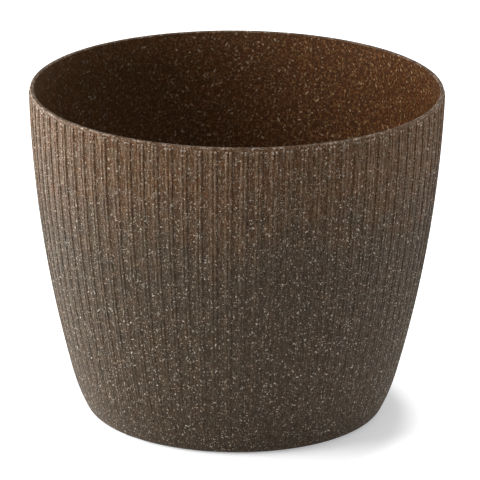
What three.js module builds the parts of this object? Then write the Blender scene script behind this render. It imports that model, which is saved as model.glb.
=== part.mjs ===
// A round plastic cachepot: the cover pot that a potted plant is set into.
// It is one injection moulding, with a bowed wall, a plain lip and a field of upright ribs outside, each of
// them a pair of beads with a groove between.
// Millimetres, +Z up. The origin is on the pot's axis, on the surface that it stands on.

import * as THREE from 'three';

const { degToRad, lerp } = THREE.MathUtils;

// Driving dimensions
const height = 157.5;
const rimDiameter = 195; // over the rib crowns, at the rim
const rimLean = 1.5; // degrees that the wall leans in from upright at the rim
const bowRadius = 590; // side view: the long arc of the wall
const tuckHeight = 20; // below this the wall draws in on a shorter arc
const tuckRadius = 88;
const cornerRadius = 6.5; // outside, where the wall turns under
const insideCornerRadius = 6; // inside, where the wall meets the floor
const wall = 1.85; // without the ribs
const lipRadius = 0.5; // rounding of the lip's two edges
const leastLipFlat = 0.2; // the flat between them, which a thinner wall keeps

const floorThickness = 2.2;
const footDepth = 1.8; // how far the underside is set up inside the foot ring
const footWidth = 3; // the flat ring that the pot stands on
const gateRadius = 6; // the shallow dish at the middle of the underside, where the mould was filled
const gateDepth = 0.5;

const ribCount = 88;
const ribHeight = 0.65; // at the rib's top
const ribWidth = 3.44; // at the rim, from foot to foot
const beadSpacing = 1.9; // at the rim, between the crests of a rib's two beads
const grooveLevel = 0.1; // height of the groove's bottom between them, as a share of the rib's height
const lipBand = 1.6; // plain band between the lip and the rib tops
const ribEndLength = 0.7; // over which a rib rounds off at its top
const ribFade = 0.65; // power by which the rib height fades to nothing at the bottom corner
const ribAzimuth = 2; // degrees from the front to the nearest rib's middle

// Fineness of the mesh
const bowSteps = 5;
const tuckSteps = 2;
const cornerSteps = 4;
const lipSteps = 2;
const ribEndSteps = 2;

// The side view is drawn with arcs. A point on one is given by its lean, the wall's angle from upright there.
const pointOn = ({ centre, radius }, lean) =>
  new THREE.Vector2(centre.x + radius * Math.cos(lean), centre.y - radius * Math.sin(lean));
const leanAt = ({ centre, radius }, z) => Math.asin((centre.y - z) / radius);

// The arc of a smaller radius that carries on from a wider one at a lean, with no kink
const tighter = (wide, lean, radius) => ({
  centre: pointOn({ centre: wide.centre, radius: wide.radius - radius }, lean),
  radius,
});

// The fillet between an arc and a level floor, and the lean at which it leaves the arc
function filletOnto(wide, floorZ, radius) {
  const lean = leanAt({ centre: wide.centre, radius: wide.radius - radius }, floorZ + radius);
  return { ...tighter(wide, lean, radius), lean };
}

// Points along an arc from one lean to another, both ends included
const along = (curve, from, to, steps) =>
  Array.from({ length: steps + 1 }, (_, i) => pointOn(curve, lerp(from, to, i / steps)));

// The wall outside, under the ribs: the bow, the tuck below it, and the corner onto the ground
const rimRadius = rimDiameter / 2 - ribHeight;
const rimLeanAngle = degToRad(rimLean);
const bow = {
  centre: new THREE.Vector2(
    rimRadius - bowRadius * Math.cos(rimLeanAngle),
    height + bowRadius * Math.sin(rimLeanAngle),
  ),
  radius: bowRadius,
};
const tuckLean = leanAt(bow, tuckHeight);
const tuck = tighter(bow, tuckLean, tuckRadius);
const corner = filletOnto(tuck, 0, cornerRadius);

// The wall inside runs at an even distance from it, down to a corner of its own
const floorTop = footDepth + floorThickness;
const insideBow = { centre: bow.centre, radius: bow.radius - wall };
const insideTuck = { centre: tuck.centre, radius: tuck.radius - wall };
const insideCorner = filletOnto(insideTuck, floorTop, insideCornerRadius);

// The outside wall from the corner up to a height on the bow
const outsideWallTo = (z) => [
  ...along(tuck, corner.lean, tuckLean, tuckSteps),
  ...along(bow, tuckLean, leanAt(bow, z), bowSteps).slice(1),
];

// The profile below the ribs, from the middle of the underside out to where the corner meets the wall
function undersideProfile() {
  const footInside = corner.centre.x - footWidth;
  return [
    new THREE.Vector2(0, footDepth + gateDepth),
    new THREE.Vector2(gateRadius - gateDepth, footDepth + gateDepth),
    new THREE.Vector2(gateRadius, footDepth),
    new THREE.Vector2(footInside - footDepth, footDepth),
    new THREE.Vector2(footInside, 0),
    ...along(corner, Math.PI / 2, corner.lean, cornerSteps),
  ];
}

// The profile above and inside the ribs: over the lip, down the inside wall and across the floor to the axis
function insideProfile() {
  const radius = Math.min(lipRadius, (wall - leastLipFlat) / 2);
  const outerEdge = { centre: new THREE.Vector2(rimRadius - radius, height - radius), radius };
  const innerEdge = { centre: new THREE.Vector2(rimRadius - wall + radius, height - radius), radius };
  const insideRimLean = leanAt(insideBow, height - radius);
  return [
    ...along(outerEdge, 0, -Math.PI / 2, lipSteps),
    ...along(innerEdge, -Math.PI / 2, -Math.PI, lipSteps).slice(0, -1),
    ...along(insideBow, insideRimLean, tuckLean, bowSteps),
    ...along(insideTuck, tuckLean, insideCorner.lean, tuckSteps).slice(1),
    ...along(insideCorner, insideCorner.lean, Math.PI / 2, cornerSteps).slice(1),
    new THREE.Vector2(0, floorTop),
  ];
}

// Rings. Each is a list of { angle, radius, z } round the pot, and repeats once for every rib.
const ribPitch = (2 * Math.PI) / ribCount;
const firstRibAngle = -Math.PI / 2 + degToRad(ribAzimuth);

function ringOf(z, columns) {
  return Array.from({ length: ribCount }, (_, rib) =>
    columns.map(([offset, radius]) => ({ angle: firstRibAngle + rib * ribPitch + offset, radius, z })),
  ).flat();
}

const plainRing = (point) => ringOf(point.y, [[0, point.x]]);

// A ring through the ribs: each rises to a bead's crest, dips into the groove and rises to the other crest
function ribbedRing({ x: surface, y: z }, rise) {
  const crest = beadSpacing / 2 / rimRadius;
  const foot = ribWidth / 2 / rimRadius;
  return ringOf(z, [
    [-foot, surface],
    [-crest, surface + rise],
    [0, surface + grooveLevel * rise],
    [crest, surface + rise],
    [foot, surface],
  ]);
}

// The ribs rise out of the bottom corner, grow to their full height and round off below the lip
function ribbedRings() {
  const shoulder = height - lipBand - ribEndLength;
  const [foot, ...surface] = outsideWallTo(shoulder);
  const body = surface.map((point) => {
    const share = (point.y - foot.y) / (shoulder - foot.y);
    return ribbedRing(point, ribHeight * share ** ribFade);
  });
  const end = Array.from({ length: ribEndSteps }, (_, i) => {
    const turn = ((i + 1) / ribEndSteps) * (Math.PI / 2);
    const point = pointOn(bow, leanAt(bow, shoulder + ribEndLength * Math.sin(turn)));
    return ribbedRing(point, ribHeight * Math.cos(turn));
  });
  return [...body, ...end];
}

// One closed skin through a run of rings, from a point on the axis to another point on it
function skinThrough(rings, startZ, endZ) {
  const positions = [];
  const addPoint = (radius, angle, z) => {
    positions.push(radius * Math.cos(angle), radius * Math.sin(angle), z);
    return positions.length / 3 - 1;
  };
  const start = addPoint(0, 0, startZ);
  const numbered = rings.map((ring) => ring.map((p) => ({ ...p, index: addPoint(p.radius, p.angle, p.z) })));
  const end = addPoint(0, 0, endZ);

  // The n-th point of a ring, going round past its last one
  const at = (ring, n) => {
    const point = ring[n % ring.length];
    return n < ring.length ? point : { ...point, angle: point.angle + 2 * Math.PI };
  };

  // Walks round two rings together, each time stepping along the one whose next point comes first
  const indices = [];
  const stitch = (lower, upper) => {
    let i = 0;
    let j = 0;
    while (i < lower.length || j < upper.length) {
      const nextLower = i < lower.length ? at(lower, i + 1).angle : Infinity;
      const nextUpper = j < upper.length ? at(upper, j + 1).angle : Infinity;
      if (nextLower < nextUpper) {
        indices.push(at(lower, i).index, at(lower, i + 1).index, at(upper, j).index);
        i += 1;
      } else {
        indices.push(at(lower, i).index, at(upper, j + 1).index, at(upper, j).index);
        j += 1;
      }
    }
  };

  const first = numbered[0];
  first.forEach((point, n) => indices.push(start, at(first, n + 1).index, point.index));
  for (let r = 0; r + 1 < numbered.length; r++) stitch(numbered[r], numbered[r + 1]);
  const last = numbered[numbered.length - 1];
  last.forEach((point, n) => indices.push(end, point.index, at(last, n + 1).index));

  const skin = new THREE.BufferGeometry();
  skin.setAttribute('position', new THREE.Float32BufferAttribute(positions, 3));
  skin.setIndex(indices);
  skin.computeVertexNormals();
  return skin;
}

function potGeometry() {
  const [underMiddle, ...underside] = undersideProfile();
  const inside = insideProfile();
  const floorMiddle = inside.pop();
  const rings = [...underside.map(plainRing), ...ribbedRings(), ...inside.map(plainRing)];
  return skinThrough(rings, underMiddle.y, floorMiddle.y);
}

const woodFilledPlastic = new THREE.MeshStandardMaterial({ color: 0x4a3a2e, roughness: 0.75, metalness: 0 });

const pot = new THREE.Mesh(potGeometry(), woodFilledPlastic);
pot.name = 'cachepot_shell';

const cachepot = new THREE.Group();
cachepot.add(pot);

export default cachepot;
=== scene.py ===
# %% [markdown]
# Plastic cachepot: a Blender lesson in cells
#
# The object is a round cover pot for a houseplant. It is moulded in one shot from dark brown plastic that
# is filled with short wood fibres, so it has one piece and nothing on it moves. What makes it worth a
# lesson is its skin: a field of fine upright ribs that run out towards the foot, and a finish in which
# thousands of pale fibres lie in a dark, matt plastic.
#
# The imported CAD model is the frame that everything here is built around. It gives the pot's real size and
# place in metres, and the pot's fine mesh then stands for it.

# %% The frame
import math

import bmesh
import bpy
from mathutils import Matrix, Vector


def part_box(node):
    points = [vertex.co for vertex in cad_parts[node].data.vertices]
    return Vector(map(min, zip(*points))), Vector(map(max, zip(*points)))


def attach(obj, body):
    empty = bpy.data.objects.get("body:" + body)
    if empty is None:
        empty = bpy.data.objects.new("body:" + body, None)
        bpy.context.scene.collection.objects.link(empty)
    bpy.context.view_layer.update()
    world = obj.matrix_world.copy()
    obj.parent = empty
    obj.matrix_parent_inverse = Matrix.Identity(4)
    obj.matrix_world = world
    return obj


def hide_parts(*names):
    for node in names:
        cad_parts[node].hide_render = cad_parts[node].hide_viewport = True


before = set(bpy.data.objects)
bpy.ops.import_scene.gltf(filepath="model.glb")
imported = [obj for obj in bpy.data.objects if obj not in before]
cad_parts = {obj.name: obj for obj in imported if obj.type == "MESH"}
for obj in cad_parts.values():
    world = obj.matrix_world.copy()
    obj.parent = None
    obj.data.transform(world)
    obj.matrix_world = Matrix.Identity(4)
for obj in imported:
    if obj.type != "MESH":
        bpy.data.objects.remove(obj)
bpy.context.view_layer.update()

cad_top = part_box("cachepot_shell")[1]

# %% [markdown]
# The pot's shape is a profile turned round its axis, so the first step is a side view made of arcs. From
# the lip down, the wall is one long bow, then a shorter arc tucks it in, and a small corner turns it
# under to the foot ring. Each arc carries on from the one above with no kink. A point on an arc is named
# by its lean, which is the wall's angle from upright there, and so neighbouring arcs share a lean where
# they meet. A spline could pass through the same places, but arcs give true radii that can be measured.

# %% Sizes of the wall, in metres
height = cad_top.z
rib_height = 0.00063
rim_radius = 0.09685  # of the plain lip, which the ribs stand outside
rim_lean = math.radians(1.5)
bow_radius = 0.59
tuck_height = 0.02
tuck_radius = 0.088
corner_radius = 0.0065
inside_corner_radius = 0.006
wall = 0.00185
lip_rounding = 0.00055
floor_thickness = 0.0022
foot_depth = 0.0018
foot_width = 0.003
foot_rounding = 0.0004
gate_radius = 0.006
gate_depth = 0.0005
print(f"{height * 1000:.1f} mm high, {2000 * (rim_radius + rib_height):.1f} mm across the ribs at the rim")


# %% Arcs of the side view
def point_on(arc, lean):
    """A point of the side view, drawn in the XZ plane."""
    centre, radius = arc
    return centre + radius * Vector((math.cos(lean), 0, -math.sin(lean)))


def lean_at(arc, z):
    centre, radius = arc
    return math.asin((centre.z - z) / radius)


def tighter(arc, lean, radius):
    """The smaller arc that carries on from a wider one at a lean."""
    centre, wide_radius = arc
    return point_on((centre, wide_radius - radius), lean), radius


def fillet_onto(arc, floor_z, radius):
    """The fillet from an arc onto a level floor, and the lean at which it leaves the arc."""
    centre, wide_radius = arc
    lean = lean_at((centre, wide_radius - radius), floor_z + radius)
    return tighter(arc, lean, radius), lean


def along(arc, start, end, steps):
    return [point_on(arc, start + (end - start) * i / steps) for i in range(steps + 1)]


centre_to_rim = bow_radius * Vector((math.cos(rim_lean), 0, -math.sin(rim_lean)))
bow_centre = Vector((rim_radius, 0, height)) - centre_to_rim
bow = (bow_centre, bow_radius)
tuck_lean = lean_at(bow, tuck_height)
tuck = tighter(bow, tuck_lean, tuck_radius)
corner, corner_lean = fillet_onto(tuck, 0, corner_radius)

floor_top = foot_depth + floor_thickness
inside_bow = (bow_centre, bow_radius - wall)
inside_tuck = (tuck[0], tuck_radius - wall)
inside_corner, inside_corner_lean = fillet_onto(inside_tuck, floor_top, inside_corner_radius)
print(f"the wall leans {math.degrees(corner_lean):.1f} degrees where the corner takes over")

# %% [markdown]
# The ribs start at nothing where the corner ends, grow quickly at first and reach their full height just
# under the lip, where each one rounds off and leaves a plain band. Every point of the profile therefore
# carries its own rib height, and also whether it is inside the pot, where the finish differs. Both are
# kept as numbers on the vertices, so that they are still known after the profile has been spun.

# %% The profile, from the middle of the underside to the middle of the floor
lip_band = 0.0016
rib_end_length = 0.0007
rib_fade = 0.65  # power by which the ribs fade towards the foot
level = math.pi / 2  # the lean of a level surface
foot_slope = level * 1.5  # the lean of the slope from the foot ring up to the underside

bow_steps = 13
tuck_steps = 5
corner_steps = 8
rib_end_steps = 5
rounding_steps = 4
foot_edge_steps = 2
inside_bow_steps = 9
inside_tuck_steps = 3
inside_corner_steps = 6

rib_foot = point_on(corner, corner_lean).z
rib_shoulder = height - lip_band - rib_end_length


def plain(points, inside=0.0):
    """Profile entries without ribs: a point, its rib height, and 1 if it is inside the pot."""
    return [(point, 0.0, inside) for point in points]


def underside():
    foot_inside = corner[0].x - foot_width
    edge = (Vector((foot_inside + foot_rounding, 0, foot_rounding)), foot_rounding)
    return plain([
        Vector((0, 0, foot_depth + gate_depth)),
        Vector((gate_radius - gate_depth, 0, foot_depth + gate_depth)),
        Vector((gate_radius, 0, foot_depth)),
        Vector((foot_inside - foot_depth, 0, foot_depth)),
        *along(edge, foot_slope, level, foot_edge_steps),
        *along(corner, level, corner_lean, corner_steps)[:-1],
    ])


def ribbed_wall():
    surface = along(tuck, corner_lean, tuck_lean, tuck_steps)
    surface += along(bow, tuck_lean, lean_at(bow, rib_shoulder), bow_steps)[1:]
    points = []
    for point in surface:
        share = (point.z - rib_foot) / (rib_shoulder - rib_foot)
        points.append((point, rib_height * max(share, 0) ** rib_fade, 0.0))
    for i in range(1, rib_end_steps + 1):
        turn = i / rib_end_steps * math.pi / 2
        point = point_on(bow, lean_at(bow, rib_shoulder + rib_end_length * math.sin(turn)))
        points.append((point, rib_height * math.cos(turn), 0.0))
    return points


def lip():
    outer = (Vector((rim_radius - lip_rounding, 0, height - lip_rounding)), lip_rounding)
    inner = (Vector((rim_radius - wall + lip_rounding, 0, height - lip_rounding)), lip_rounding)
    return plain([
        *along(outer, 0, -level, rounding_steps),
        *along(inner, -level, -2 * level, rounding_steps)[:-1],
    ])


def inside_wall_and_floor():
    rim_inside = lean_at(inside_bow, height - lip_rounding)
    return plain([
        *along(inside_bow, rim_inside, tuck_lean, inside_bow_steps),
        *along(inside_tuck, tuck_lean, inside_corner_lean, inside_tuck_steps)[1:],
        *along(inside_corner, inside_corner_lean, level, inside_corner_steps)[1:],
        Vector((0, 0, floor_top)),
    ], inside=1.0)


profile = underside() + ribbed_wall() + lip() + inside_wall_and_floor()
print(f"the profile has {len(profile)} points; the ribs start at {rib_foot * 1000:.1f} mm")

# %% [markdown]
# Seen from above, one rib is a pair of rounded beads with a groove between them, and the gap to the next
# pair is about as wide as the pair. The columns below say where the mesh has points across one rib and
# the two half gaps beside it. Most of them stand on the beads, where the shape turns, and few on the
# plain wall. The finish paints the crests a little paler, as a painted highlight, and the corners beside
# and between the beads darker, as painted shade. How far a point is on a crest or in a corner is worked
# out here too, and kept on the vertices as painted shading for the finish.

# %% Across one rib
rib_count = 88
rib_azimuth = math.radians(2)  # of the rib nearest the front, which faces -Y
rib_half_foot = 0.00172
bead_offset = 0.00095  # from the rib's middle to a bead's crest
groove_level = 0.1  # height of the groove's bottom, as a share of the rib's height
corner_reach = 0.0003  # how far the painted shade of a corner reaches across the wall
groove_columns = (0.3, 0.65, 1)  # shares of the way from the rib's middle to a crest
flank_columns = (0.5, 0.85, 1)  # and from there to the rib's foot

rib_pitch = 2 * math.pi / rib_count
half_gap = rib_pitch * rim_radius / 2
flank = rib_half_foot - bead_offset
half_columns = [bead_offset * share for share in groove_columns]
half_columns += [bead_offset + flank * share for share in flank_columns]
half_columns += [rib_half_foot + corner_reach, half_gap]
columns = [-offset for offset in reversed(half_columns)] + [0.0] + half_columns


def rib_section(offset):
    """How much of the rib's height stands at an offset from its middle."""
    distance = abs(offset)
    if distance <= bead_offset:
        share = 1 - distance / bead_offset
        return groove_level + (1 - groove_level) * math.sqrt(1 - share ** 2)
    share = min((distance - bead_offset) / flank, 1)
    return math.sqrt(1 - share ** 2)


def rib_painted_shading(offset):
    """Painted shading: 1 for a painted highlight on a bead's crest, -1 for painted shade in the corners
    beside and between the beads, fading to 0 on the wall.
    """
    beyond = abs(offset) - rib_half_foot
    if beyond > 0:
        return -math.exp(-beyond / corner_reach)
    return 2 * rib_section(offset) - 1


print(f"{len(columns) - 1} strips of faces a rib, {rib_count * (len(columns) - 1)} round the pot")

# %% [markdown]
# A turned shape is a natural job for the spin operator: the profile's points and edges go in once, and
# each step draws the next strip of faces. A full turn in fine steps would be slow, since every step goes
# over the whole mesh again. So the profile is spun through one rib's share only, the rib is raised on
# that slice, and the finished slice is spun once more as 87 copies. Removing doubles joins the slices
# and closes the two poles, and the normals are then worked out again, because a spin can leave them
# facing in.

# %% Spin one rib's slice and repeat it
AXIS = {"cent": (0, 0, 0), "axis": (0, 0, 1)}
SAME_PLACE = 1e-6  # vertices nearer than this are one


def slice_of_pot():
    """The profile spun through one rib pitch, with the rib raised on it."""
    bm = bmesh.new()
    rise, painted_shading, inside = (bm.verts.layers.float.new(name) for name in ("rib_rise", "rib_painted_shading", "inside"))
    path = []
    for point, rib_rise, side in profile:
        vert = bm.verts.new(point)
        vert[rise] = rib_rise
        vert[inside] = side
        path.append(vert)
    edges = [bm.edges.new(pair) for pair in zip(path, path[1:])]
    strips = len(columns) - 1
    bmesh.ops.spin(bm, geom=path + edges, angle=rib_pitch, steps=strips, **AXIS)
    for vert in bm.verts:
        offset = columns[round(math.atan2(vert.co.y, vert.co.x) / rib_pitch * strips)]
        azimuth = rib_azimuth - math.pi / 2 + offset / rim_radius
        radius = math.hypot(vert.co.x, vert.co.y) + vert[rise] * rib_section(offset)
        vert.co.x = radius * math.cos(azimuth)
        vert.co.y = radius * math.sin(azimuth)
        # the painted highlight and shade, which grow with the rib's height
        vert[painted_shading] = rib_painted_shading(offset) * vert[rise] / rib_height
    return bm


def whole_pot():
    bm = slice_of_pot()
    parts = [*bm.verts, *bm.edges, *bm.faces]
    bmesh.ops.spin(
        bm, geom=parts, angle=2 * math.pi - rib_pitch, steps=rib_count - 1, use_duplicate=True, **AXIS
    )
    bmesh.ops.remove_doubles(bm, verts=bm.verts, dist=SAME_PLACE)
    return bm


def mesh_object(name, bm):
    """A finished bmesh as a smooth object at the origin, with its normals facing out."""
    bmesh.ops.recalc_face_normals(bm, faces=bm.faces)
    mesh = bpy.data.meshes.new(name)
    bm.to_mesh(mesh)
    bm.free()
    mesh.shade_smooth()
    made = bpy.data.objects.new(name, mesh)
    bpy.context.collection.objects.link(made)
    return made


shell = mesh_object("moulded_shell", whole_pot())
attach(shell, "root")
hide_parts("cachepot_shell")
print(f"{len(shell.data.polygons)} faces, size {tuple(round(d * 1000, 2) for d in shell.dimensions)} mm")

# %% [markdown]
# The finish is written as sums, as it would be on paper. The small class below wraps a node's output, so
# that a plus or a times between two of them adds the node that does it: a Math node for numbers, and a
# Vector Math node for places and colours, which a Math node would turn grey. Everything else goes
# through one method, which sets a node's own choices first and then fills or links its sockets.


# %% Shader sums
class Value:
    """What one output of a node gives, as a term of a sum."""

    def __init__(self, nodes, output):
        self.nodes = nodes
        self.output = output

    def sum(self, operation, *terms):
        vector = any(isinstance(term, Value) and term.output.type != "VALUE" for term in terms)
        kind = "ShaderNodeVectorMath" if vector else "ShaderNodeMath"
        return self.nodes.node(kind, {"operation": operation}, dict(enumerate(terms)))

    def __add__(self, other):
        return self.sum("ADD", self, other)

    def __radd__(self, other):
        return self.sum("ADD", other, self)

    def __sub__(self, other):
        return self.sum("SUBTRACT", self, other)

    def __rsub__(self, other):
        return self.sum("SUBTRACT", other, self)

    def __mul__(self, other):
        return self.sum("MULTIPLY", self, other)

    def __rmul__(self, other):
        return self.sum("MULTIPLY", other, self)

    def __truediv__(self, other):
        return self.sum("DIVIDE", self, other)


class Nodes:
    """The nodes of a material or of the world, added by their type."""

    def __init__(self, owner):
        owner.use_nodes = True
        self.tree = owner.node_tree
        self.tree.nodes.clear()

    def node(self, kind, settings=None, sockets=None, take=None):
        """Adds a node and gives its first live output, or a list of the outputs named in take."""
        node = self.tree.nodes.new(kind)
        for setting, choice in (settings or {}).items():
            setattr(node, setting, choice)
        for socket, value in (sockets or {}).items():
            self.fill(self.live_input(node, socket), value)
        if take:
            return [Value(self, node.outputs[name]) for name in take]
        return Value(self, next((output for output in node.outputs if output.enabled), None))

    def live_input(self, node, socket):
        if isinstance(socket, int):
            return node.inputs[socket]
        return next(entry for entry in node.inputs if entry.enabled and entry.name == socket)

    def fill(self, target, value):
        if isinstance(value, Value):
            self.tree.links.new(value.output, target)
        elif target.type == "VECTOR" and not hasattr(value, "__len__"):
            target.default_value = (value, value, value)
        elif target.type == "RGBA":
            target.default_value = (*value, 1)
        else:
            target.default_value = value


# %% [markdown]
# A few turns of phrase come up again and again in a finish, so they get short names here. A ramp finds
# where a value passes from one number to another, a mix lays one colour over another, and noise gives
# soft blotches of a chosen size. The place is divided by that size and the texture's own scale is left
# alone, so all sizes can be written in the same unit. The last one, between, is a plain sum: it slides
# from one strength to another as a share goes from 0 to 1.

# %% Turns of phrase
OWN_SCALE = 1.0
EVEN = 0.5  # the middle of noise, and of a random number


class Finish(Nodes):
    """Nodes with the turns of phrase of a finish."""

    def ramp(self, value, start, end):
        """0 at one value and 1 at the other, easing at both ends."""
        return self.node(
            "ShaderNodeMapRange", {"interpolation_type": "SMOOTHSTEP"},
            {"Value": value, "From Min": start, "From Max": end},
        )

    def mix(self, share, first, second):
        return self.node(
            "ShaderNodeMix", {"data_type": "RGBA"}, {"Factor": share, "A": first, "B": second}
        )

    def noise(self, place, size, detail=2.0):
        """Smooth noise around 0.5, with blotches about as wide as size."""
        sockets = {"Vector": place / size, "Scale": OWN_SCALE, "Detail": detail}
        return self.node("ShaderNodeTexNoise", sockets=sockets)

    def larger(self, first, second):
        return self.node("ShaderNodeMath", {"operation": "MAXIMUM"}, {0: first, 1: second})

    def smaller(self, first, second):
        return self.node("ShaderNodeMath", {"operation": "MINIMUM"}, {0: first, 1: second})

    def attribute(self, name):
        return self.node("ShaderNodeAttribute", {"attribute_name": name}, take=["Fac"])[0]

    def tell(self, layer):
        print(f"{layer}: {len(self.tree.nodes)} nodes so far")


def between(share, low, high):
    """The low strength where the share is 0, the high one where it is 1."""
    return low + share * (high - low)


# %% [markdown]
# Every layer of the finish asks the same things about a point of the pot: where it is, how far up, how
# far to the right, whether inside, whether on a rib's crest. They come first, in millimetres. They are
# read from the pot itself and never from the picture, so the pattern stays put from every side. Large
# changes get ragged borders, because a big soft noise shifts them to and fro.

# %% Where a point lies on the pot
MILLIMETRE = 0.001
CLOUD_SIZE = 14.0
BORDER_SHIFT = 60  # millimetres between the farthest places of a border
WARM_RISE = (92, 152)  # heights over which the grey brown of the foot turns into the rim's warm one
PAINTED_LIGHT_ACROSS = (-75, 75)  # from left to right, over which painted light on the inside grows
WEAR_AND_PAINTED_LIGHT_RISE = (60, 155)  # heights over which wear, and the painted light and shade on the ribs, grow
LEAST_WEAR_AND_PAINTED_LIGHT = 0.06

wood_filled_plastic = bpy.data.materials.new("wood_filled_plastic")
shell.data.materials.append(wood_filled_plastic)
plastic = Finish(wood_filled_plastic)

place = plastic.node("ShaderNodeTexCoord", take=["Object"])[0] / MILLIMETRE
across, rise = plastic.node("ShaderNodeSeparateXYZ", sockets={"Vector": place}, take=("X", "Z"))
inside = plastic.attribute("inside")
# painted shading from the ribs: highlight on the crests, shade in the corners
painted_shading = plastic.attribute("rib_painted_shading")
crest_highlight = plastic.larger(painted_shading, 0.0)
corner_shade = plastic.smaller(painted_shading, 0.0)  # down to -1 in a corner, where the painted shade is

shift = (plastic.noise(place, CLOUD_SIZE) - EVEN) * BORDER_SHIFT
warmth = plastic.ramp(rise + shift, *WARM_RISE)
# painted light across the inside, from its left to its right
painted_light_across = plastic.ramp(across + shift, *PAINTED_LIGHT_ACROSS)
# by height: wear near the rim, and the strength of the painted light and shade on the ribs
wear_and_painted_light = between(plastic.ramp(rise, *WEAR_AND_PAINTED_LIGHT_RISE), LEAST_WEAR_AND_PAINTED_LIGHT, 1)
plastic.tell("where a point lies")

# %% [markdown]
# The resin itself is a dark warm brown. Towards the foot it is greyer than at the rim, and inside the
# pot it is redder. Fine mottling breaks it up, and outside there are faint upright streaks of the wood
# dust that flowed into the mould with it.

# %% Resin
RESIN_RIM = (0.0542, 0.0233, 0.0066)
RESIN_FOOT = (0.0318, 0.0210, 0.0125)
RESIN_INSIDE = (0.0445, 0.0185, 0.0053)
DUST = (0.155, 0.115, 0.08)
FINE_DETAIL = 3.0
MOTTLE_SIZE = 0.8
MOTTLE_WIDER_INSIDE = 0.3
MOTTLE_STRENGTH = (3.3, 1.5)  # outside and inside
STREAK_SHAPE = (1, 1, 0.12)  # drawn out upwards
STREAK_WIDTH = 0.7
STREAK_RANGE = (0.46, 0.78)
STREAK_STRENGTH = (0.3, 0.8)  # at the foot and at the rim

mottle = plastic.noise(place * (1 - inside * MOTTLE_WIDER_INSIDE), MOTTLE_SIZE, FINE_DETAIL)
colour = plastic.mix(inside, plastic.mix(warmth, RESIN_FOOT, RESIN_RIM), RESIN_INSIDE)
colour = colour * (1 + (mottle - EVEN) * between(inside, *MOTTLE_STRENGTH))

streak = plastic.ramp(plastic.noise(place * STREAK_SHAPE, STREAK_WIDTH), *STREAK_RANGE)
streak = streak * between(warmth, *STREAK_STRENGTH) * (1 - inside)
colour = plastic.mix(streak, colour, DUST)
plastic.tell("resin")

# %% [markdown]
# Wood-filled plastic shows its filler as short pale fibres in every direction, some at the surface and
# bright, others just under it and faint, with fine wood dust between them. A picture of a scratchy noise
# would repeat or stretch, so each fibre is placed in space instead. A Voronoi texture gives every point
# the centre of its own cell and three random numbers. Those numbers turn into a direction, and a point
# is inside the fibre if it is near the line through the centre along that direction. The wall then cuts
# through this cloud of fibres as a real wall does, so they look alike on the ribs, the lip and the floor.

# %% Fibres scattered through space
FIBRE_EDGE = (1.5, 0.4)  # 1 is a fibre's outline, which is blurred to both sides


def fibres(finish, place, spacing, length, width, start, luck_range):
    """How strongly a fibre shows at a point, from 0 to 1, and the three random numbers of that fibre.

    The first of the numbers hides a fibre at the low end of luck_range and shows it in full at the
    high end. The start sets the cells of one size of fibre apart from another's.
    """
    cell_place = place / spacing + start
    centre, luck = finish.node(
        "ShaderNodeTexVoronoi", sockets={"Vector": cell_place, "Scale": OWN_SCALE, "Randomness": 1.0},
        take=("Position", "Color"),
    )
    away = cell_place - centre
    direction = finish.node("ShaderNodeVectorMath", {"operation": "NORMALIZE"}, {0: luck - EVEN})
    forward = finish.node("ShaderNodeVectorMath", {"operation": "DOT_PRODUCT"}, {0: away, 1: direction})
    span_squared = finish.node("ShaderNodeVectorMath", {"operation": "DOT_PRODUCT"}, {0: away, 1: away})
    aside_squared = span_squared - forward * forward
    ellipse = aside_squared * (2 * spacing / width) ** 2 + forward * forward * (2 * spacing / length) ** 2
    number = finish.node("ShaderNodeSeparateColor", sockets={"Color": luck})
    return finish.ramp(ellipse, *FIBRE_EDGE) * finish.ramp(number, *luck_range), luck


# %% [markdown]
# The filler comes in three sizes, given in millimetres. Real fibres are seldom straight, so noise bends
# the space that they are placed in. They also lie a little along the flow of the mould, which is
# upwards, and they look coarser on the smooth inside.

# %% Long fibres, short fibres and specks
CURL_SIZE = 2.0
CURL = 1.2  # millimetres, from side to side
FLOW_SHAPE = (1, 1, 0.85)
COARSER_INSIDE = 0.35

bend = plastic.node("ShaderNodeTexNoise", sockets={
    "Vector": place / CURL_SIZE, "Scale": OWN_SCALE, "Detail": 1.0,
}, take=["Color"])[0]
curled = (place * FLOW_SHAPE + (bend - EVEN) * CURL) * (1 - inside * COARSER_INSIDE)

long_fibres, _ = fibres(
    plastic, curled, spacing=1.7, length=1.7, width=0.52, start=0.0, luck_range=(0.2, 1.05)
)
short_fibres, short_luck = fibres(
    plastic, curled, spacing=1.05, length=1.0, width=0.40, start=17.3, luck_range=(0.1, 1.05)
)
specks, _ = fibres(
    plastic, curled, spacing=0.65, length=0.5, width=0.34, start=41.9, luck_range=(0.0, 1.0)
)
plastic.tell("fibres and specks")

# %% [markdown]
# Wood dust and fibres lie over the resin. The dust, which shows as specks, is paler near the rim, where
# the pot is rubbed most. Inside, it is golden. There, both dust and fibres show more strongly on the
# right than on the left, which is painted light: the right of the inside is the side the light falls on.
# Short fibres range from tan to pale, each by its own random numbers, and the long ones are pale.

# %% Dust and fibres over the resin
FIBRE_TAN = (0.24, 0.19, 0.138)
FIBRE_PALE = (0.435, 0.39, 0.335)
DUST_AT_RIM = (0.29, 0.217, 0.15)
DUST_INSIDE = (0.150, 0.088, 0.043)
DUST_STRENGTH = 0.8
DUST_STRENGTH_INSIDE = (0.45, 0.75)  # at the left and at the right
GOLDEN_RANGE = (0.5, 0.66)
GOLDEN_STRENGTH = (0.25, 0.65)  # at the left and at the right
CROWD_SIZE = 8.0
CROWD_RANGE = (0.35, 0.65)
FIBRE_STRENGTH = (0.8, 1.0)  # where fibres are sparse and where they crowd
FAINTER_INSIDE = (0.62, 0.26)  # at the left and at the right

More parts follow.
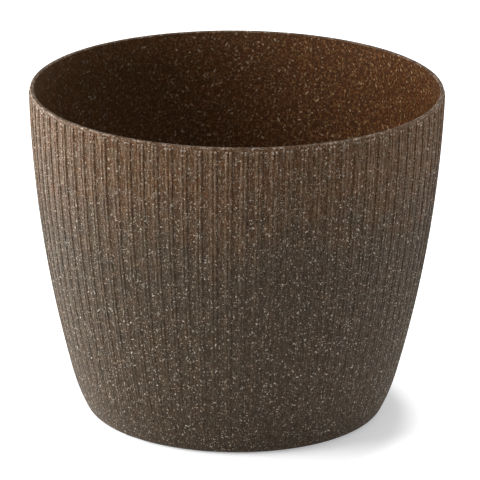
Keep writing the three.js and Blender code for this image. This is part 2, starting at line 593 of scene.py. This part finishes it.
# golden dust inside, stronger on the right as painted light
golden = plastic.ramp(mottle, *GOLDEN_RANGE) * inside * between(painted_light_across, *GOLDEN_STRENGTH)
colour = plastic.mix(golden, colour, DUST_INSIDE)
dust = plastic.mix(inside, plastic.mix(wear_and_painted_light, DUST, DUST_AT_RIM), DUST_INSIDE)
# inside, the dust shows more on the right, as painted light
dust_shows = between(inside, DUST_STRENGTH, between(painted_light_across, *DUST_STRENGTH_INSIDE))
colour = plastic.mix(specks * dust_shows, colour, dust)

crowd = plastic.ramp(plastic.noise(place, CROWD_SIZE), *CROWD_RANGE)
# inside, fibres show more on the right, as painted light
fibres_show = between(crowd, *FIBRE_STRENGTH) - inside * between(painted_light_across, *FAINTER_INSIDE)
short_colour = plastic.mix(short_luck, FIBRE_TAN, FIBRE_PALE)
colour = plastic.mix(short_fibres * fibres_show, colour, short_colour)
colour = plastic.mix(long_fibres * fibres_show, colour, FIBRE_PALE)
plastic.tell("dust and fibres over the resin")

# %% [markdown]
# The light and shade on the ribs and the lip are painted here. The corners beside the beads get painted
# shade and the crests a painted highlight, both growing towards the rim, and fine noise turns the crests'
# highlight tan in places. The rounded rib tops and the outer edge of the lip get a pale painted highlight,
# and larger patches decide where it shows, because an even pale line would look drawn on. The lip's flat
# top gets painted shade.

# %% Painted light and shade on the ribs and the lip
HIGHLIGHT_BREAKUP_SHAPE = (1, 1, 0.8)
HIGHLIGHT_BREAKUP_SIZE = 0.9
HIGHLIGHT_BREAKUP_RANGE = (0.42, 0.66)
PATCH_SIZE = 5.0
HIGHLIGHT_PATCH_RANGE = (0.42, 0.62)
PAINTED_CORNER_SHADE = 0.36
PAINTED_CREST_HIGHLIGHT = 0.05
PAINTED_CREST_HIGHLIGHT_TAN = 0.19
RIB_TOP_HIGHLIGHT_RISE = (155.0, 155.4)
RIB_TOP_HIGHLIGHT = (0.3, 0.75)  # outside the highlight patches and in them
LIP_EDGE_HIGHLIGHT_RISE = (156.7, 157.1)
LIP_EDGE_HIGHLIGHT = 0.6
LIP_TOP_SHADE_RISE = (157.2, 157.45)
PAINTED_LIP_TOP_SHADE = 0.28

highlight_breakup = plastic.ramp(plastic.noise(place * HIGHLIGHT_BREAKUP_SHAPE, HIGHLIGHT_BREAKUP_SIZE, FINE_DETAIL), *HIGHLIGHT_BREAKUP_RANGE)
patch = plastic.noise(place, PATCH_SIZE)
highlight_patches = plastic.ramp(patch, *HIGHLIGHT_PATCH_RANGE) * highlight_breakup

# painted shade in the corners beside the beads, painted highlight on the crests
colour = colour * (1 + corner_shade * wear_and_painted_light * PAINTED_CORNER_SHADE) * (1 + crest_highlight * wear_and_painted_light * PAINTED_CREST_HIGHLIGHT)
# the crests' painted highlight turns tan in places
colour = plastic.mix(crest_highlight * wear_and_painted_light * highlight_breakup * PAINTED_CREST_HIGHLIGHT_TAN, colour, FIBRE_TAN)
# painted highlight on the rounded rib tops, which face up to the light
rib_top_highlight = crest_highlight * plastic.ramp(rise, *RIB_TOP_HIGHLIGHT_RISE) * between(highlight_patches, *RIB_TOP_HIGHLIGHT)
colour = plastic.mix(rib_top_highlight, colour, FIBRE_PALE)
# painted highlight along the lip's rounded outer edge
lip_edge_highlight = plastic.ramp(rise, *LIP_EDGE_HIGHLIGHT_RISE) * highlight_patches * LIP_EDGE_HIGHLIGHT
colour = plastic.mix(lip_edge_highlight, colour, FIBRE_PALE)
# painted shade on the lip's flat top
colour = colour * (1 - plastic.ramp(rise, *LIP_TOP_SHADE_RISE) * PAINTED_LIP_TOP_SHADE)
plastic.tell("wear_and_painted_light")

# %% [markdown]
# Last comes a tint over everything. The same patches turn the pot slightly warmer or cooler from place
# to place. The inside goes from a plain, lighter brown on the left to a golden one on the right, which
# is painted light for how the light falls across the inside.

# %% Tint
TINT_RANGE = (0.3, 0.7)
WARMER = (1.06, 0.99, 0.93)
COOLER = (0.96, 1.0, 1.01)
INSIDE_PLAINER = (1.14, 1.13, 1.10)
INSIDE_GOLDEN = (1.0, 0.76, 0.47)
UNTINTED = (1.0, 1.0, 1.0)

colour = colour * plastic.mix(plastic.ramp(patch, *TINT_RANGE), COOLER, WARMER)
# painted light: the inside is tinted lighter on the left and golden on the right
inside_tint = plastic.mix(painted_light_across, INSIDE_PLAINER, INSIDE_GOLDEN)
colour = colour * plastic.mix(inside, UNTINTED, inside_tint)
plastic.tell("tint")

# %% [markdown]
# Roughness and a little relief come from the same fibres as the colour, because a fibre that shows also
# stands slightly proud and is duller than the resin round it. The ribs are real geometry, so the relief
# only has to give the grain, and is about a twentieth of a millimetre deep.

# %% Surface
IOR = 1.5
SPECULAR = 0.12
SPECK_SHARE = 0.5  # of what a fibre does to the surface
SMOOTHEST = 0.66
ROUGHER_GRAIN = 0.12
ROUGHER_FIBRE = 0.1
GRAIN_SIZE = 0.35
GRAIN_RELIEF = 0.7
MORE_RELIEF_INSIDE = 0.6
RELIEF_DEPTH = 0.00005  # metres

grain = plastic.noise(place, GRAIN_SIZE)
shown = long_fibres + short_fibres + specks * SPECK_SHARE
roughness = SMOOTHEST + grain * ROUGHER_GRAIN + shown * ROUGHER_FIBRE
relief = (grain * GRAIN_RELIEF + shown) * (1 + inside * MORE_RELIEF_INSIDE)
bump = plastic.node(
    "ShaderNodeBump", sockets={"Height": relief, "Strength": 1.0, "Distance": RELIEF_DEPTH}
)
surface = plastic.node("ShaderNodeBsdfPrincipled", sockets={
    "Base Color": colour, "Roughness": roughness, "Normal": bump, "IOR": IOR,
    "Specular IOR Level": SPECULAR,
})
plastic.node("ShaderNodeOutputMaterial", sockets={"Surface": surface})
plastic.tell("the whole finish")

# %% [markdown]
# The pot stands on a plain white sheet. A real white sheet would only look pure white if it were lit far
# more strongly than the pot, so the floor is given a little light of its own that only the camera and
# reflections see. The shadow beside the pot still shows on it. From below, the sheet is clear to the
# camera, so that the pot's underside can be looked at too.

# %% Floor
FLOOR_HALF = 3.0
FLOOR_WHITE = (0.90, 0.90, 0.91)
FLOOR_LIFT = 0.355
FLOOR_LIFT_TINT = (0.97, 0.98, 1.0)


def seen_directly(finish):
    """1 for rays from the camera, reflections and clear materials, 0 for light that falls on things."""
    camera_ray, glossy, clear = finish.node(
        "ShaderNodeLightPath", take=("Is Camera Ray", "Is Glossy Ray", "Is Transmission Ray")
    )
    return finish.larger(camera_ray, finish.larger(glossy, clear))


def white_sheet():
    material = bpy.data.materials.new("white_sheet")
    finish = Finish(material)
    paper = finish.node("ShaderNodeBsdfDiffuse", sockets={"Color": FLOOR_WHITE})
    lift = {"Color": FLOOR_LIFT_TINT, "Strength": seen_directly(finish) * FLOOR_LIFT}
    glow = finish.node("ShaderNodeEmission", sockets=lift)
    sheet = finish.node("ShaderNodeAddShader", sockets={0: paper, 1: glow})
    below = finish.node("ShaderNodeNewGeometry", take=["Backfacing"])[0]
    camera_ray = finish.node("ShaderNodeLightPath", take=["Is Camera Ray"])[0]
    clear = finish.node("ShaderNodeBsdfTransparent")
    seen = finish.node("ShaderNodeMixShader", sockets={0: below * camera_ray, 1: sheet, 2: clear})
    finish.node("ShaderNodeOutputMaterial", sockets={"Surface": seen})
    return material


bm = bmesh.new()
bmesh.ops.create_grid(bm, x_segments=1, y_segments=1, size=FLOOR_HALF)
floor = mesh_object("floor", bm)
floor.data.materials.append(white_sheet())
print(f"the floor is {2 * FLOOR_HALF:.0f} m square")

# %% [markdown]
# The light is that of a small white studio. An even light comes from all round, and a large soft lamp
# on the left, a little in front and above, draws out the ribs. Two strip lamps stand on the floor
# beside the pot and light the edges of its wall. They are lower than the rim, so that they don't shine
# into the mouth. The pot's shadow falls to its right, and a small lamp high overhead, a little behind
# and to the right, keeps it short.

# %% Light
WORLD_LIGHT = 0.46
WHITE = (1, 1, 1)
CENTRE = Vector((0, 0, height / 2))


def surroundings():
    """Even white light on the pot, and full white for whatever sees the world directly."""
    world = bpy.data.worlds.new("white_studio")
    bpy.context.scene.world = world
    sky = Finish(world)
    strength = between(seen_directly(sky), WORLD_LIGHT, 1)
    light = sky.node("ShaderNodeBackground", sockets={"Color": WHITE, "Strength": strength})
    sky.node("ShaderNodeOutputWorld", sockets={"Surface": light})


def soft_lamp(name, azimuth, elevation, distance, wide, tall, power):
    """A flat lamp that faces the pot. Azimuth 0 is the front, and 90 is the right."""
    data = bpy.data.lights.new(name, "AREA")
    data.shape = "RECTANGLE"
    data.size = wide
    data.size_y = tall
    data.energy = power
    lamp = bpy.data.objects.new(name, data)
    bpy.context.collection.objects.link(lamp)
    a, e = math.radians(azimuth), math.radians(elevation)
    back = Vector((math.sin(a) * math.cos(e), -math.cos(a) * math.cos(e), math.sin(e)))
    turn = back.to_track_quat("Z", "Y").to_matrix().to_4x4()
    lamp.matrix_world = Matrix.Translation(CENTRE + back * distance) @ turn


surroundings()
soft_lamp("side_left", azimuth=-70, elevation=22, distance=1.6, wide=1.0, tall=1.0, power=33)
soft_lamp("edge_left", azimuth=-118, elevation=0, distance=1.2, wide=0.5, tall=0.14, power=24)
soft_lamp("edge_right", azimuth=95, elevation=0, distance=1.2, wide=0.5, tall=0.14, power=6)
soft_lamp("overhead", azimuth=131, elevation=79.2, distance=1.8, wide=0.24, tall=0.24, power=18)
print(f"{len(bpy.data.lights)} lamps, {sum(data.energy for data in bpy.data.lights):.0f} W in all")

# %% [markdown]
# The camera stands well back with a long lens, which is how such pots are photographed: the rim's ellipse
# is nearly the same in front and behind. It looks down a little and is turned a touch, so the pot
# leans very slightly in the picture, and the pot sits a few pixels left of and below the centre.

# %% Camera
PICTURE = 480  # pixels across and down
SENSOR_WIDTH = 36  # millimetres
FARTHEST_SEEN = 20  # metres
CAMERA_DISTANCE = 2.5
CAMERA_ELEVATION = math.radians(18.31)
CAMERA_ROLL = math.radians(0.495)
PIXELS_PER_UNIT = 5294.3  # focal length in pixels
MIDDLE_IN_PICTURE = (235.76, 247.01)  # pixels, where the pot's middle shows


def look_at_pot():
    data = bpy.data.cameras.new("camera")
    data.sensor_width = SENSOR_WIDTH
    data.lens = data.sensor_width * PIXELS_PER_UNIT / PICTURE
    data.clip_end = FARTHEST_SEEN
    camera = bpy.data.objects.new("camera", data)
    bpy.context.collection.objects.link(camera)
    back = Vector((0, -math.cos(CAMERA_ELEVATION), math.sin(CAMERA_ELEVATION)))
    place = CENTRE + back * CAMERA_DISTANCE
    right = Vector((1, 0, 0))
    up = back.cross(right)
    pixel = CAMERA_DISTANCE / PIXELS_PER_UNIT
    aim = CENTRE + right * (PICTURE / 2 - MIDDLE_IN_PICTURE[0]) * pixel
    aim += up * (MIDDLE_IN_PICTURE[1] - PICTURE / 2) * pixel
    turn = (place - aim).to_track_quat("Z", "Y").to_matrix().to_4x4()
    camera.matrix_world = Matrix.Translation(place) @ turn @ Matrix.Rotation(CAMERA_ROLL, 4, "Z")
    return camera


camera = look_at_pot()
bpy.context.scene.camera = camera
bpy.context.scene.view_settings.view_transform = "Standard"
print(f"lens {camera.data.lens:.1f} mm at {CAMERA_DISTANCE} m")

# %% [markdown]
# The last cell brings the scene up to date.

# %% The end
bpy.context.view_layer.update()
